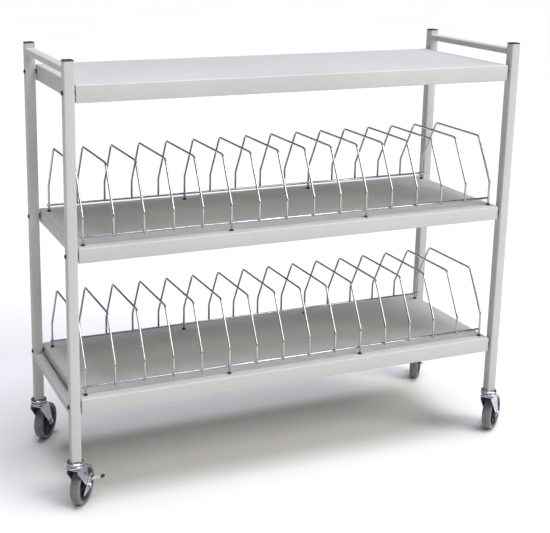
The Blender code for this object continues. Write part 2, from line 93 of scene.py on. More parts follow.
class Shader:
    """A Principled material with its node tree at hand."""

    def __init__(self, name, roughness, metallic=0.0, specular=0.5):
        self.mat = bpy.data.materials.new(name)
        self.mat.use_nodes = True
        self.nodes = self.mat.node_tree.nodes
        self.links = self.mat.node_tree.links
        self.shader = self.nodes["Principled BSDF"]
        self.shader.inputs["Roughness"].default_value = roughness
        self.shader.inputs["Metallic"].default_value = metallic
        self.shader.inputs["Specular IOR Level"].default_value = specular
        self.place = self.nodes.new("ShaderNodeTexCoord").outputs["Object"]

    def stretch(self, scale):
        """Object coordinates scaled along each axis."""
        node = self.nodes.new("ShaderNodeMapping")
        node.inputs["Scale"].default_value = scale
        self.links.new(self.place, node.inputs["Vector"])
        return node.outputs["Vector"]

    def noise(self, scale, detail=3.0, roughness=0.5, vector=None):
        """Noise in object coordinates."""
        node = self.nodes.new("ShaderNodeTexNoise")
        node.inputs["Scale"].default_value = scale
        node.inputs["Detail"].default_value = detail
        node.inputs["Roughness"].default_value = roughness
        self.links.new(vector or self.place, node.inputs["Vector"])
        return node.outputs["Fac"]

    def span(self, value, low, high, to_low=0.0, to_high=1.0):
        """Map a range of a value to another range."""
        node = self.nodes.new("ShaderNodeMapRange")
        node.inputs["From Min"].default_value = low
        node.inputs["From Max"].default_value = high
        node.inputs["To Min"].default_value = to_low
        node.inputs["To Max"].default_value = to_high
        self.links.new(value, node.inputs["Value"])
        return node.outputs["Result"]

    def height(self):
        """Height over the object's origin."""
        node = self.nodes.new("ShaderNodeSeparateXYZ")
        self.links.new(self.place, node.inputs["Vector"])
        return node.outputs["Z"]

    def multiply(self, a, b):
        """Product of two sockets."""
        node = self.nodes.new("ShaderNodeMath")
        node.operation = "MULTIPLY"
        self.links.new(a, node.inputs[0])
        self.links.new(b, node.inputs[1])
        return node.outputs["Value"]

    def blend(self, factor, first, second):
        """Mix two colours, each a tuple or a socket."""
        node = self.nodes.new("ShaderNodeMix")
        node.data_type = "RGBA"
        self.links.new(factor, node.inputs["Factor"])
        for socket, value in zip((node.inputs["A"], node.inputs["B"]), (first, second)):
            if isinstance(value, tuple):
                socket.default_value = (*value, 1.0)
            else:
                self.links.new(value, socket)
        return node.outputs["Result"]

    def colour(self, socket):
        """Drive the base colour."""
        self.links.new(socket, self.shader.inputs["Base Color"])

    def roughen(self, socket):
        """Drive the roughness."""
        self.links.new(socket, self.shader.inputs["Roughness"])

    def bump(self, socket, distance, strength=1.0):
        """Raise the surface by a height socket."""
        node = self.nodes.new("ShaderNodeBump")
        node.inputs["Distance"].default_value = distance
        node.inputs["Strength"].default_value = strength
        self.links.new(socket, node.inputs["Height"])
        self.links.new(node.outputs["Normal"], self.shader.inputs["Normal"])


def paint_material(name, light, dark):
    """Powder coat: orange peel, faint tone drift, specks, and painted shade that darkens the low parts.
    """
    made = Shader(name, 0.42, 0.0, 0.22)
    drift = made.noise(2.6, 4.0, 0.6)
    tone = made.blend(made.span(drift, 0.35, 0.65), dark, light)
    scuff = made.noise(60.0, 5.0, 0.7, made.stretch((1.0, 1.0, 0.12)))
    worn = made.span(scuff, 0.66, 0.74, 0.0, 0.35)
    tone = made.blend(worn, tone, tuple(c * 0.72 for c in dark))
    # Painted shade: a warm grey that darkens the paint towards the floor, from 0.34 m down to 0.12 m,
    # patchy with the drift.
    low = made.multiply(made.span(made.height(), 0.34, 0.12), made.span(drift, 0.3, 0.7, 0.1, 0.5))
    tone = made.blend(low, tone, (0.34, 0.33, 0.305))
    speck = made.span(made.noise(700.0, 1.0), 0.76, 0.80, 0.0, 0.5)
    made.colour(made.blend(speck, tone, (0.30, 0.30, 0.29)))
    peel = made.noise(620.0, 2.0, 0.55)
    made.roughen(made.span(made.noise(34.0, 4.0), 0.3, 0.7, 0.46, 0.60))
    made.bump(peel, 0.00006, 0.55)
    return made.mat


def chrome_material():
    """Bright wire with a faint cloud and fine handling marks."""
    made = Shader("chrome_wire", 0.1, 1.0)
    cloud = made.noise(38.0, 4.0, 0.6)
    made.colour(made.blend(made.span(cloud, 0.3, 0.7), (0.40, 0.40, 0.43), (0.58, 0.58, 0.61)))
    made.roughen(made.span(made.noise(90.0, 5.0, 0.7), 0.3, 0.75, 0.07, 0.24))
    made.bump(made.noise(240.0, 3.0), 0.00005, 0.35)
    return made.mat


def zinc_material():
    """Bluish zinc plate with grime in patches."""
    made = Shader("zinc_plate", 0.3, 1.0)
    cloud = made.noise(75.0, 4.0, 0.65)
    tone = made.blend(made.span(cloud, 0.3, 0.7), (0.40, 0.41, 0.48), (0.62, 0.63, 0.70))
    grime = made.span(made.noise(130.0, 5.0, 0.7), 0.60, 0.72, 0.0, 0.5)
    made.colour(made.blend(grime, tone, (0.16, 0.15, 0.15)))
    made.roughen(made.span(made.noise(120.0, 3.0), 0.3, 0.7, 0.16, 0.30))
    made.bump(made.noise(160.0, 2.0), 0.00005, 0.25)
    return made.mat


def tyre_material():
    """Mid grey rubber with light dust."""
    made = Shader("grey_tyre", 0.62)
    cloud = made.noise(46.0, 4.0, 0.6)
    tone = made.blend(made.span(cloud, 0.3, 0.7), (0.145, 0.145, 0.15), (0.215, 0.215, 0.22))
    dust = made.span(made.noise(150.0, 5.0, 0.7), 0.52, 0.74, 0.0, 0.55)
    made.colour(made.blend(dust, tone, (0.30, 0.29, 0.275)))
    made.roughen(made.span(made.noise(95.0, 4.0), 0.3, 0.7, 0.5, 0.8))
    made.bump(made.noise(520.0, 4.0, 0.65), 0.00012, 0.5)
    return made.mat


def plastic_material(name, light, dark, gloss):
    """Moulded plastic with a fine grain and some dust."""
    made = Shader(name, gloss)
    cloud = made.noise(55.0, 4.0, 0.6)
    tone = made.blend(made.span(cloud, 0.3, 0.7), dark, light)
    dust = made.span(made.noise(210.0, 5.0, 0.7), 0.60, 0.78, 0.0, 0.35)
    made.colour(made.blend(dust, tone, (0.14, 0.135, 0.13)))
    made.roughen(made.span(made.noise(80.0, 3.0), 0.3, 0.7, gloss - 0.09, gloss + 0.12))
    made.bump(made.noise(900.0, 2.0), 0.00005, 0.5)
    return made.mat


def black_steel_material():
    """Black oxide steel of the bolts."""
    made = Shader("black_bolt", 0.38, 0.65)
    cloud = made.noise(190.0, 4.0, 0.6)
    made.colour(made.blend(made.span(cloud, 0.3, 0.7), (0.018, 0.018, 0.020), (0.05, 0.05, 0.055)))
    made.roughen(made.span(made.noise(260.0, 3.0), 0.3, 0.7, 0.28, 0.5))
    made.bump(made.noise(1100.0, 2.0), 0.00003, 0.4)
    return made.mat


def floor_material():
    """Plain pale studio floor."""
    made = Shader("studio_floor", 0.7, 0.0, 0.2)
    cloud = made.noise(0.6, 3.0)
    made.colour(made.blend(cloud, (0.750, 0.738, 0.712), (0.780, 0.768, 0.742)))
    made.bump(made.noise(160.0, 3.0), 0.0001, 0.2)
    return made.mat


PAINT = paint_material("frame_paint", (0.545, 0.545, 0.525), (0.505, 0.505, 0.485))
CHROME = chrome_material()
ZINC = zinc_material()
TYRE = tyre_material()
HUB = plastic_material("dark_hub", (0.035, 0.035, 0.045), (0.018, 0.018, 0.024), 0.42)
CAP = plastic_material("black_cap", (0.022, 0.022, 0.024), (0.012, 0.012, 0.013), 0.40)
GRIP = plastic_material("brake_grip", (0.055, 0.048, 0.045), (0.028, 0.025, 0.024), 0.55)
BOLT = black_steel_material()


# ---------------------------------------------------------------- mesh helpers

def piece(name, bm, material, body, replaces=(), place=None, smooth=38):
    """Turn the mesh into an object that rides on a body."""
    bmesh.ops.remove_doubles(bm, verts=bm.verts, dist=0.000004)
    bmesh.ops.recalc_face_normals(bm, faces=bm.faces)
    if place is not None:
        bm.transform(place)
    mesh = bpy.data.meshes.new(name)
    bm.to_mesh(mesh)
    bm.free()
    mesh.materials.append(material)
    mesh.shade_smooth()
    mesh.set_sharp_from_angle(angle=math.radians(smooth))
    obj = bpy.data.objects.new(name, mesh)
    bpy.context.scene.collection.objects.link(obj)
    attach(obj, body)
    if replaces:
        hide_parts(*replaces)
    return obj


def rounded_rectangle(half_a, half_b, radius, steps):
    """Outline of a rectangle with round corners, anticlockwise."""
    points = []
    for corner, (sign_a, sign_b) in enumerate(((1, 1), (-1, 1), (-1, -1), (1, -1))):
        for i in range(steps + 1):
            angle = math.pi / 2 * (corner + i / steps)
            points.append((sign_a * (half_a - radius) + radius * math.cos(angle),
                           sign_b * (half_b - radius) + radius * math.sin(angle)))
    return points


def ring_faces(bm, first, second):
    """Join two rings of vertices with a band of quads."""
    count = len(first)
    for i in range(count):
        j = (i + 1) % count
        bm.faces.new((first[i], first[j], second[j], second[i]))


def add_rings(bm, rings, close_ends=True, loop=False):
    """Skin a row of equal rings of points."""
    made = [[bm.verts.new(point) for point in ring] for ring in rings]
    for first, second in zip(made, made[1:]):
        ring_faces(bm, first, second)
    if loop:
        ring_faces(bm, made[-1], made[0])
    elif close_ends:
        bm.faces.new(list(reversed(made[0])))
        bm.faces.new(made[-1])
    return made


def add_tube(bm, half_a, half_b, length, place):
    """Open rectangular tube along its local Z, centred, with eased ends."""
    ease = 0.0004
    inner_radius = TUBE_CORNER - TUBE_WALL

    def ring(grow, z):
        """The tube's outline, grown from its outer face."""
        radius = TUBE_CORNER + grow if grow > -TUBE_WALL else inner_radius + grow + TUBE_WALL
        outline = rounded_rectangle(half_a + grow, half_b + grow, radius, 6)
        return [place @ Vector((a, b, z)) for a, b in outline]

    half = length / 2
    rings = [
        ring(-TUBE_WALL, -half),
        ring(-ease, -half),
        ring(0.0, -half + ease),
        ring(0.0, half - ease),
        ring(-ease, half),
        ring(-TUBE_WALL, half),
    ]
    add_rings(bm, rings, loop=True)


def add_turned(bm, profile, steps, place=None):
    """Closed turned form about local Z. The profile is (radius, height); a
    point on the axis becomes a pole."""
    place = place or Matrix.Identity(4)
    rings = []
    for radius, height in profile:
        if radius < 1e-7:
            rings.append([bm.verts.new(place @ Vector((0, 0, height)))])
            continue
        ring = []
        for i in range(steps):
            angle = 2 * math.pi * i / steps
            ring.append(bm.verts.new(place @ Vector((radius * math.cos(angle),
                                                     radius * math.sin(angle), height))))
        rings.append(ring)
    pairs = list(zip(rings, rings[1:]))
    if len(rings[0]) > 1 and len(rings[-1]) > 1:
        pairs.append((rings[-1], rings[0]))
    for first, second in pairs:
        if len(first) == 1 or len(second) == 1:
            pole, ring = (first[0], second) if len(first) == 1 else (second[0], first)
            for i in range(steps):
                bm.faces.new((pole, ring[i], ring[(i + 1) % steps]))
        else:
            ring_faces(bm, first, second)


def arc(centre, radius, start, finish, steps):
    """Points on an arc in the (radius, height) plane, angles in degrees."""
    points = []
    for i in range(steps + 1):
        angle = math.radians(start + (finish - start) * i / steps)
        points.append((centre[0] + radius * math.cos(angle), centre[1] + radius * math.sin(angle)))
    return points


def smooth_corner_path(corners, radius, steps):
    """Polyline with each inner corner rounded to an arc of one radius."""
    corners = [Vector(corner) for corner in corners]
    path = [corners[0]]
    for before, here, after in zip(corners, corners[1:], corners[2:]):
        back = (before - here).normalized()
        ahead = (after - here).normalized()
        half = back.angle(ahead) / 2
        cut = radius / math.tan(half)
        centre = here + (back + ahead).normalized() * (radius / math.sin(half))
        start = (here + back * cut - centre).normalized()
        finish = (here + ahead * cut - centre).normalized()
        for i in range(steps + 1):
            path.append(centre + start.slerp(finish, i / steps) * radius)
    path.append(corners[-1])
    return path


def add_wire(bm, path, radius, sides, across):
    """Round wire along a path that lies in the plane square to across."""
    across = Vector(across).normalized()
    rings = []
    for i, point in enumerate(path):
        ahead = path[min(i + 1, len(path) - 1)] - path[max(i - 1, 0)]
        normal = ahead.normalized().cross(across).normalized()
        rings.append((point, normal, ahead.normalized()))
    skins = []
    ease = radius * 0.35
    for place, shrink, slide in ((0, 0.72, 0.0), (0, 1.0, ease)):
        point, normal, ahead = rings[place]
        skins.append((point + ahead * slide, normal, radius * shrink))
    for point, normal, ahead in rings[1:-1]:
        skins.append((point, normal, radius))
    for shrink, slide in ((1.0, ease), (0.72, 0.0)):
        point, normal, ahead = rings[-1]
        skins.append((point - ahead * slide, normal, radius * shrink))
    loops = []
    for point, normal, size in skins:
        loops.append([point + (normal * math.cos(2 * math.pi * k / sides)
                               + across * math.sin(2 * math.pi * k / sides)) * size
                      for k in range(sides)])
    add_rings(bm, loops)


def add_prism(bm, outline, low, high, place, bevel=0.0):
    """Extrude a 2D outline (x, z) from y=low to y=high in a local frame."""
    first = [bm.verts.new(place @ Vector((x, low, z))) for x, z in outline]
    second = [bm.verts.new(place @ Vector((x, high, z))) for x, z in outline]
    ring_faces(bm, first, second)
    caps = [bm.faces.new(list(reversed(first))), bm.faces.new(second)]
    if bevel:
        edges = [edge for face in caps for edge in face.edges]
        bmesh.ops.bevel(bm, geom=edges, offset=bevel, segments=2, affect="EDGES", profile=0.5)


# ---------------------------------------------------------------- frame

def axis_place(centre, axis):
    """Local Z along the given axis, with the other axes kept square to it."""
    turn = {
        "Z": Matrix.Identity(3),
        "Y": Matrix(((1, 0, 0), (0, 0, 1), (0, -1, 0))),
        "X": Matrix(((0, 0, 1), (0, 1, 0), (-1, 0, 0))),
    }[axis]
    return Matrix.Translation(centre) @ turn.to_4x4()


def make_tube(node, axis, material):
    """Square tube that fills its CAD box."""
    low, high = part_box(node)
    size = high - low
    index = "XYZ".index(axis)
    halves = {"Z": (size.x / 2, size.y / 2), "Y": (size.x / 2, size.z / 2)}[axis]
    bm = bmesh.new()
    add_tube(bm, *halves, size[index], axis_place((low + high) / 2, axis))
    return piece(f"{node}_tube", bm, material, "cart", (node,))


def add_bead(bm, centre, half_x, half_z, facing, seed):
    """Weld bead round the end of a bar, where it meets a leg: a rippled
    fillet that follows the bar's outline."""
    outline = rounded_rectangle(half_x, half_z, TUBE_CORNER, 5)
    dense = []
    for (ax, az), (bx, bz) in zip(outline, outline[1:] + outline[:1]):
        steps = max(1, round(math.hypot(bx - ax, bz - az) / 0.0011))
        for i in range(steps):
            t = i / steps
            dense.append((ax + (bx - ax) * t, az + (bz - az) * t))
    rings = []
    for k, (x, z) in enumerate(dense):
        ripple = 0.0013 + 0.00022 * math.sin(k * 1.9 + seed) + 0.00012 * math.sin(k * 0.7 + seed * 2)
        out = Vector((x / half_x ** 2, 0, z / half_z ** 2)).normalized()
        base = centre + Vector((x, 0, z))
        profile = ((-0.0004, -0.0005), (ripple, -0.0005), (ripple * 0.66, ripple * 0.5),
                   (ripple * 0.28, ripple * 1.0), (-0.0004, ripple * 1.2))
        rings.append([base + out * a + Vector((0, facing, 0)) * b for a, b in profile])
    add_rings(bm, rings, loop=True)


def make_frame():
    """Legs, handle bars and cross tubes, with the weld beads of the bars."""
    for corner in CORNERS:
        make_tube(f"leg_{corner}", "Z", PAINT)
    for side in SIDES:
        for bar in ("handle_bar", "lower_cross_tube"):
            node = f"{bar}_{side}"
            make_tube(node, "Y", PAINT)
            low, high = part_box(node)
            middle = (low + high) / 2
            bm = bmesh.new()
            for seed, (y, facing) in enumerate(((low.y, 1), (high.y, -1))):
                add_bead(bm, Vector((middle.x, y, middle.z)), (high.x - low.x) / 2 - 0.0012,
                         (high.z - low.z) / 2, facing, seed + 3)
            piece(f"{node}_welds", bm, PAINT, "cart", smooth=60)


def make_cap(corner):
    """Moulded square end cap: soft-edged crown and the plug below it."""
    node = f"leg_cap_{corner}"
    low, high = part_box(node)
    centre = (low + high) / 2
    half = (high.x - low.x) / 2
    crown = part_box(f"leg_{corner}")[1].z + 0.0002
    levels = [
        (half - 0.0022, low.z, 0.0012),
        (half - 0.0018, low.z + 0.0008, 0.0012),
        (half - 0.0018, crown, 0.0012),
        (half - 0.0003, crown, 0.0030),
        (half, crown + 0.0004, 0.0033),
        (half, crown + 0.0014, 0.0033),
        (half - 0.0003, crown + 0.0021, 0.0031),
        (half - 0.0011, crown + 0.0026, 0.0026),
        (half - 0.0030, high.z - 0.00012, 0.0018),
        (half * 0.45, high.z - 0.00002, 0.0010),
    ]
    rings = []
    for size, z, radius in levels:
        outline = rounded_rectangle(size, size, radius, 5)
        rings.append([Vector((centre.x + x, centre.y + y, z)) for x, y in outline])
    bm = bmesh.new()
    add_rings(bm, rings)
    piece(f"{node}_moulding", bm, CAP, "cart", (node,), smooth=50)


# ---------------------------------------------------------------- shelves

def make_shelf(shelf):
    """Folded pan skinned as nested rings, from the hem's edge round the
    outside and back over the inside."""
    node = f"shelf_{shelf}"
    low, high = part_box(node)
    centre = (low + high) / 2
    half_x = (high.x - low.x) / 2
    half_y = (high.y - low.y) / 2
    steps = 5
    levels = [(-HEM, low.z)]

    def corner_levels(z_from, radius, upper, inside):
        """Insets and heights round an upper or a lower fold."""
        made = []
        for i in range(steps + 1):
            angle = math.pi / 2 * i / steps
            if upper:
                made.append((-inside - radius * (1 - math.cos(angle)),
                             z_from + radius * math.sin(angle)))
            else:
                made.append((-inside - radius * (1 - math.sin(angle)),
                             z_from - radius * math.cos(angle)))
        return made

    levels += corner_levels(low.z + FOLD_RADIUS, FOLD_RADIUS, False, 0.0)
    levels += corner_levels(high.z - FOLD_RADIUS, FOLD_RADIUS, True, 0.0)
    bend = FOLD_RADIUS - SHEET
    inner = corner_levels(high.z - FOLD_RADIUS, bend, True, SHEET)
    lower = corner_levels(low.z + FOLD_RADIUS, bend, False, SHEET)
    back = list(reversed(inner)) + list(reversed(lower)) + [(-HEM, low.z + SHEET)]

    def ring(inset, z):
        """The pan's outline at one inset and height."""
        radius = max(0.0022 + inset, 0.0006)
        outline = rounded_rectangle(half_x + inset, half_y + inset, radius, 4)
        return [Vector((centre.x + x, centre.y + y, z)) for x, y in outline]

    bm = bmesh.new()
    outside = add_rings(bm, [ring(*level) for level in levels], close_ends=False)
    inside = add_rings(bm, [ring(*level) for level in back], close_ends=False)
    bm.faces.new(outside[-1])
    bm.faces.new(list(reversed(inside[0])))
    ring_faces(bm, inside[-1], outside[0])
    piece(f"{node}_pan", bm, PAINT, "cart", (node,), smooth=30)


def make_bolt(shelf, corner):
    """Button-head bolt with a hex socket, a washer under its head, the
    spacer between leg and shelf, and the nut inside the shelf's lip."""
    node = f"shelf_bolt_{shelf}_{corner}"
    low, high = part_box(node)
    centre = (low + high) / 2
    facing = -1 if corner.endswith("left") else 1
    tip = low.x if facing < 0 else high.x
    leg_low, leg_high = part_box(f"leg_{corner}")
    face = leg_low.x if facing < 0 else leg_high.x
    inner_face = leg_high.x if facing < 0 else leg_low.x
    shelf_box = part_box(f"shelf_{shelf}")
    lip = shelf_box[0].x if facing < 0 else shelf_box[1].x
    end = high.x if facing < 0 else low.x
    head_radius = 0.0058
    socket = 0.0019
    shank = 0.0025
    spacer = 0.0060
    nut = 0.0045
    gap = 0.0002

    def along(x):
        """Distance from the bolt's inner end."""
        return abs(x - end)

    out = along(face)
    head = along(tip)
    profile = [(0.0, head - 0.0016), (socket, head - 0.0016), (socket, head - 0.0001),
               (socket + 0.0003, head)]
    for i in range(1, 7):
        angle = math.pi / 2 * i / 6
        profile.append((socket + 0.0003 + (head_radius - 0.0009 - socket) * math.sin(angle),
                        out + 0.0008 + (head - out - 0.0008) * math.cos(angle)))
    profile += [
        (head_radius + 0.0006, out + 0.0008),
        (head_radius + 0.0006, out + 0.0001),
        (shank, out + 0.0001),
        (shank, along(inner_face) - gap),
        (spacer - 0.0002, along(inner_face) - gap),
        (spacer, along(inner_face) - gap - 0.0004),
        (spacer, along(lip) + gap + 0.0004),
        (spacer - 0.0002, along(lip) + gap),
        (shank, along(lip) + gap),
        (shank, along(lip) - SHEET - gap),
        (nut, along(lip) - SHEET - gap),
        (nut, 0.0016),
        (0.0040, 0.0010),
        (0.0024, 0.0010),
        (0.0022, 0.0001),
        (0.0, 0.0001),
    ]
    turn = Matrix(((0, 0, facing), (0, 1, 0), (-facing, 0, 0))).to_4x4()
    place = Matrix.Translation(Vector((end, centre.y, centre.z))) @ turn
    bm = bmesh.new()
    add_turned(bm, profile, 24, place)
    piece(f"{node}_set", bm, BOLT, "cart", (node,), smooth=40)


# ---------------------------------------------------------------- wire racks

def rack_frame(shelf):
    """Driving places of a rack: wire centre lines, deck and rail height."""
    low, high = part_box(f"wire_rack_{shelf}")
    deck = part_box(f"shelf_{shelf}")[1].z
    return {
        "deck": deck,
        "middle": (low.x + high.x) / 2,
        "front": low.y + WIRE_RADIUS,
        "back": high.y - WIRE_RADIUS,
        "top": high.z - WIRE_RADIUS,
        "rail": deck + RAIL_HEIGHT,
        "low": low.x,
        "high": high.x,
    }


def divider_x(rack, index):
    """Place of a divider along the cart."""
    return rack["middle"] + (index - (DIVIDERS - 1) / 2) * PITCH


def make_rack(shelf):
    """Sixteen bent arches, two rails, their spot welds and the feet."""
    node = f"wire_rack_{shelf}"
    rack = rack_frame(shelf)
    first = None
    for index in range(DIVIDERS):
        x = divider_x(rack, index)
        stands = index % FOOT_EVERY == 0
        base = rack["deck"] + 0.0012 if stands else rack["rail"] - WIRE_RADIUS * 1.5
        corners = [
            (x, rack["front"], base),
            (x, rack["front"], rack["deck"] + BEND_HEIGHT),
            (x, rack["front"] + SHOULDER_SET, rack["top"]),
            (x, rack["back"] - SHOULDER_SET, rack["top"]),
            (x, rack["back"], rack["deck"] + BEND_HEIGHT),
            (x, rack["back"], base),
        ]
        bm = bmesh.new()
        add_wire(bm, smooth_corner_path(corners, BEND_RADIUS, 9), WIRE_RADIUS, WIRE_SIDES, (1, 0, 0))
        made = piece(f"{shelf}_divider_{index + 1:02d}", bm, CHROME, "cart", smooth=60)
        first = first or made
    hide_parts(node)
    for end in ENDS:
        # The rail runs just inside the uprights and is welded to each.
        inward = 1 if end == "front" else -1
        y = rack[end] + inward * WIRE_RADIUS * 1.85
        bm = bmesh.new()
        path = [Vector((rack[x], y, rack["rail"])) for x in ("low", "middle", "high")]
        add_wire(bm, path, WIRE_RADIUS, WIRE_SIDES, (0, 1, 0))
        piece(f"{shelf}_{end}_rail", bm, CHROME, "cart", smooth=60)
        bm = bmesh.new()
        for index in range(DIVIDERS):
            x = divider_x(rack, index)
            for side in (-1, 1):
                # A small bead beside each crossing, a little different in height each time.
                bead = 0.0026 + 0.0004 * math.sin(index * 2.3 + side)
                move = Matrix.Translation((x + side * WIRE_RADIUS * 0.75,
                                           rack[end] + inward * WIRE_RADIUS * 0.93, rack["rail"]))
                place = move @ Matrix.Diagonal((0.0014, 0.0016, bead, 1))
                bmesh.ops.create_uvsphere(bm, u_segments=10, v_segments=7, radius=1.0, matrix=place)
        piece(f"{shelf}_{end}_rail_welds", bm, CHROME, "cart", smooth=60)
        make_feet(shelf, rack, end)


def make_feet(shelf, rack, end):
    """Small black boots on the dividers that stand on the shelf."""
    deck = rack["deck"]
    profile = [
        (WIRE_RADIUS * 0.9, deck + 0.0042),
        (WIRE_RADIUS + 0.0006, deck + 0.0044),
        (WIRE_RADIUS + 0.0011, deck + 0.0040),
        (WIRE_RADIUS + 0.0014, deck + 0.0026),
        (0.0052, deck + 0.0020),
        (0.0056, deck + 0.0015),
        (0.0056, deck + 0.0005),
        (0.0053, deck + 0.0001),
        (WIRE_RADIUS * 0.9, deck + 0.0001),
    ]
    for index in range(0, DIVIDERS, FOOT_EVERY):
        bm = bmesh.new()
        place = Matrix.Translation((divider_x(rack, index), rack[end], 0))
        add_turned(bm, profile, 24, place)
        piece(f"{shelf}_{end}_foot_{index + 1:02d}", bm, CAP, "cart")


# ---------------------------------------------------------------- casters

def caster_place(corner):
    """Local X along the trail, local Y along the axle, origin on the floor
    under the swivel."""
    swivel = Vector(JOINTS[f"swivel_{corner}"]["pos_m"])
    axle = Vector(JOINTS[f"wheel_spin_{corner}"]["pos_m"])
    across = Vector(JOINTS[f"wheel_spin_{corner}"]["axis"]).normalized()
    along = Vector((axle.x - swivel.x, axle.y - swivel.y, 0))
    trail = along.length
    along.normalize()
    rotation = Matrix((along, across, Vector((0, 0, 1)))).transposed().to_4x4()
    return Matrix.Translation((swivel.x, swivel.y, 0)) @ rotation, trail, axle.z


def axle_turn(trail, axle_z):
    """Local Z along the axle, with the origin at the wheel's centre."""
    return Matrix.Translation((trail, 0, axle_z)) @ Matrix.Rotation(math.pi / 2, 4, "X")


def cut(obj, bm, name, place):
    """Cut a short-lived shape out of an object, applied at once."""
    bmesh.ops.recalc_face_normals(bm, faces=bm.faces)
    bm.transform(place)
    mesh = bpy.data.meshes.new(name)
    bm.to_mesh(mesh)
    bm.free()
    other = bpy.data.objects.new(name, mesh)
    bpy.context.scene.collection.objects.link(other)
    mod = obj.modifiers.new(name, "BOOLEAN")
    mod.operation = "DIFFERENCE"
    mod.object = other
    bpy.context.view_layer.update()
    graph = bpy.context.evaluated_depsgraph_get()
    result = bpy.data.meshes.new_from_object(obj.evaluated_get(graph))
    obj.modifiers.clear()
    obj.data = result
    bpy.data.objects.remove(other)


def round_edges(obj, width, segments=2, angle=40):
    """Bevel every edge that is sharper than the angle."""
    mod = obj.modifiers.new("edge", "BEVEL")
    mod.width = width
    mod.segments = segments
    mod.limit_method = "ANGLE"
    mod.angle_limit = math.radians(angle)
    mod.harden_normals = True


def make_race(corner, place):
    """Upper race: pressed cup with a rolled waist, and the threaded stem."""
    leg_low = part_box(f"leg_{corner}")[0].z
    stem_low, stem_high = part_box(f"caster_stem_{corner}")
    radius = (stem_high.x - stem_low.x) / 2
    top = leg_low - 0.0007
    profile = [(0.0, stem_high.z - 0.0001), (0.0046, stem_high.z - 0.0001)]
    threads = 16
    stem = 0.0055
    thread_low = top + 0.003
    for i in range(threads):
        z = stem_high.z - 0.0008 - (stem_high.z - thread_low - 0.0012) * i / threads
        profile.append((stem - 0.0001, z))
        profile.append((stem - 0.0007, z - 0.0008))
    profile += [(stem - 0.0001, thread_low - 0.001), (stem - 0.0001, top)]
    profile += [(radius * 0.74, top), (radius * 0.81, top - 0.0005)]
    profile += arc((radius - ROLL_RADIUS - 0.0001, top - 0.0043), ROLL_RADIUS, 88, -62, 8)
    profile += [(radius * 0.86, top - 0.0079), (0.0045, top - 0.0079)]
    # King pin with its riveted head under the fork's crown.
    profile += [
        (0.0045, stem_low.z + 0.0028),
        (0.0086, stem_low.z + 0.0026),
        (0.0080, stem_low.z + 0.0012),
        (0.0058, stem_low.z + 0.0003),
        (0.0, stem_low.z + 0.0001),
    ]
    bm = bmesh.new()
    add_turned(bm, profile, RING_STEPS)
    piece(f"caster_race_{corner}", bm, ZINC, "cart", (f"caster_stem_{corner}",), place, 35)


def make_fork(corner, place, trail, axle_z):
    """Pressed fork: flat crown under a rolled lower race, two blades that
    narrow to round eyes, and a stiffening rib up each blade."""
    node = f"caster_fork_{corner}"
    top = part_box(f"leg_{corner}")[0].z - 2 * RACE_HEIGHT - RACE_GAPS
    inner = 0.0146
    sheet = 0.0026
    outer = inner + sheet
    boss = 0.0095
    front, back = -0.0195, 0.0235
    outline = [(front, top)]
    outline += [(back - 0.004, top), (back, top - 0.0012), (back + 0.006, top - 0.0115)]
    steps = 18
    for i in range(steps + 1):
        angle = math.radians(12 - 192 * i / steps)
        outline.append((trail + boss * math.cos(angle), axle_z + boss * math.sin(angle)))
    outline += [(front, top - 0.011)]
    bm = bmesh.new()
    add_prism(bm, outline, -outer, outer, Matrix.Identity(4))
    fork = piece(f"{node}_pressing", bm, ZINC, f"swivel_{corner}", (node,), place, 30)
    space = bmesh.new()
    add_prism(space, [(-0.06, -0.02), (0.09, -0.02), (0.09, top - sheet), (-0.06, top - sheet)],
              -inner, inner, Matrix.Identity(4))
    cut(fork, space, "wheel_space", place)
    hole = bmesh.new()
    eye = 0.0044
    add_turned(hole, [(0, 0.03), (eye, 0.03), (eye, -0.03), (0, -0.03)], 32, axle_turn(trail, axle_z))
    cut(fork, hole, "axle_eye", place)
    pin = bmesh.new()
    add_turned(pin, [(0, top + 0.02), (0.005, top + 0.02), (0.005, top - 0.02), (0, top - 0.02)], 32)
    cut(fork, pin, "pin_eye", place)
    round_edges(fork, 0.0005)

    bm = bmesh.new()
    radius = 0.0223
    profile = [(0.0052, top + 0.0079), (radius * 0.86, top + 0.0079)]
    profile += arc((radius - ROLL_RADIUS - 0.0001, top + 0.0042), ROLL_RADIUS, 62, -92, 8)
    profile += [(radius * 0.80, top + 0.0002), (0.0052, top + 0.0002)]
    add_turned(bm, profile, RING_STEPS)
    piece(f"caster_lower_race_{corner}", bm, ZINC, f"swivel_{corner}", (), place, 35)

    bm = bmesh.new()
    start = Vector((0.004, 0, top - 0.016))
    finish = Vector((trail - 0.002, 0, axle_z + 0.016))
    for side in (1,) if f"brake_{corner}" in JOINTS else (-1, 1):
        points = []
        for i in range(13):
            t = i / 12
            swell = math.sin(math.pi * t) ** 0.5
            centre = start.lerp(finish, t) + Vector((0, side * (outer - 0.0003), 0))
            points.append((centre, 0.0030 * swell + 0.0001, 0.0011 * swell + 0.0001))
        along = (finish - start).normalized()
        sideways = Vector((along.z, 0, -along.x))
        loops = []
        for centre, width, lift in points:
            loops.append([centre + sideways * width * math.cos(2 * math.pi * k / 12)
                          + Vector((0, side * lift * math.sin(2 * math.pi * k / 12), 0))
                          for k in range(12)])
        add_rings(bm, loops)
    piece(f"caster_fork_ribs_{corner}", bm, ZINC, f"swivel_{corner}", (), place, 60)
    return outer


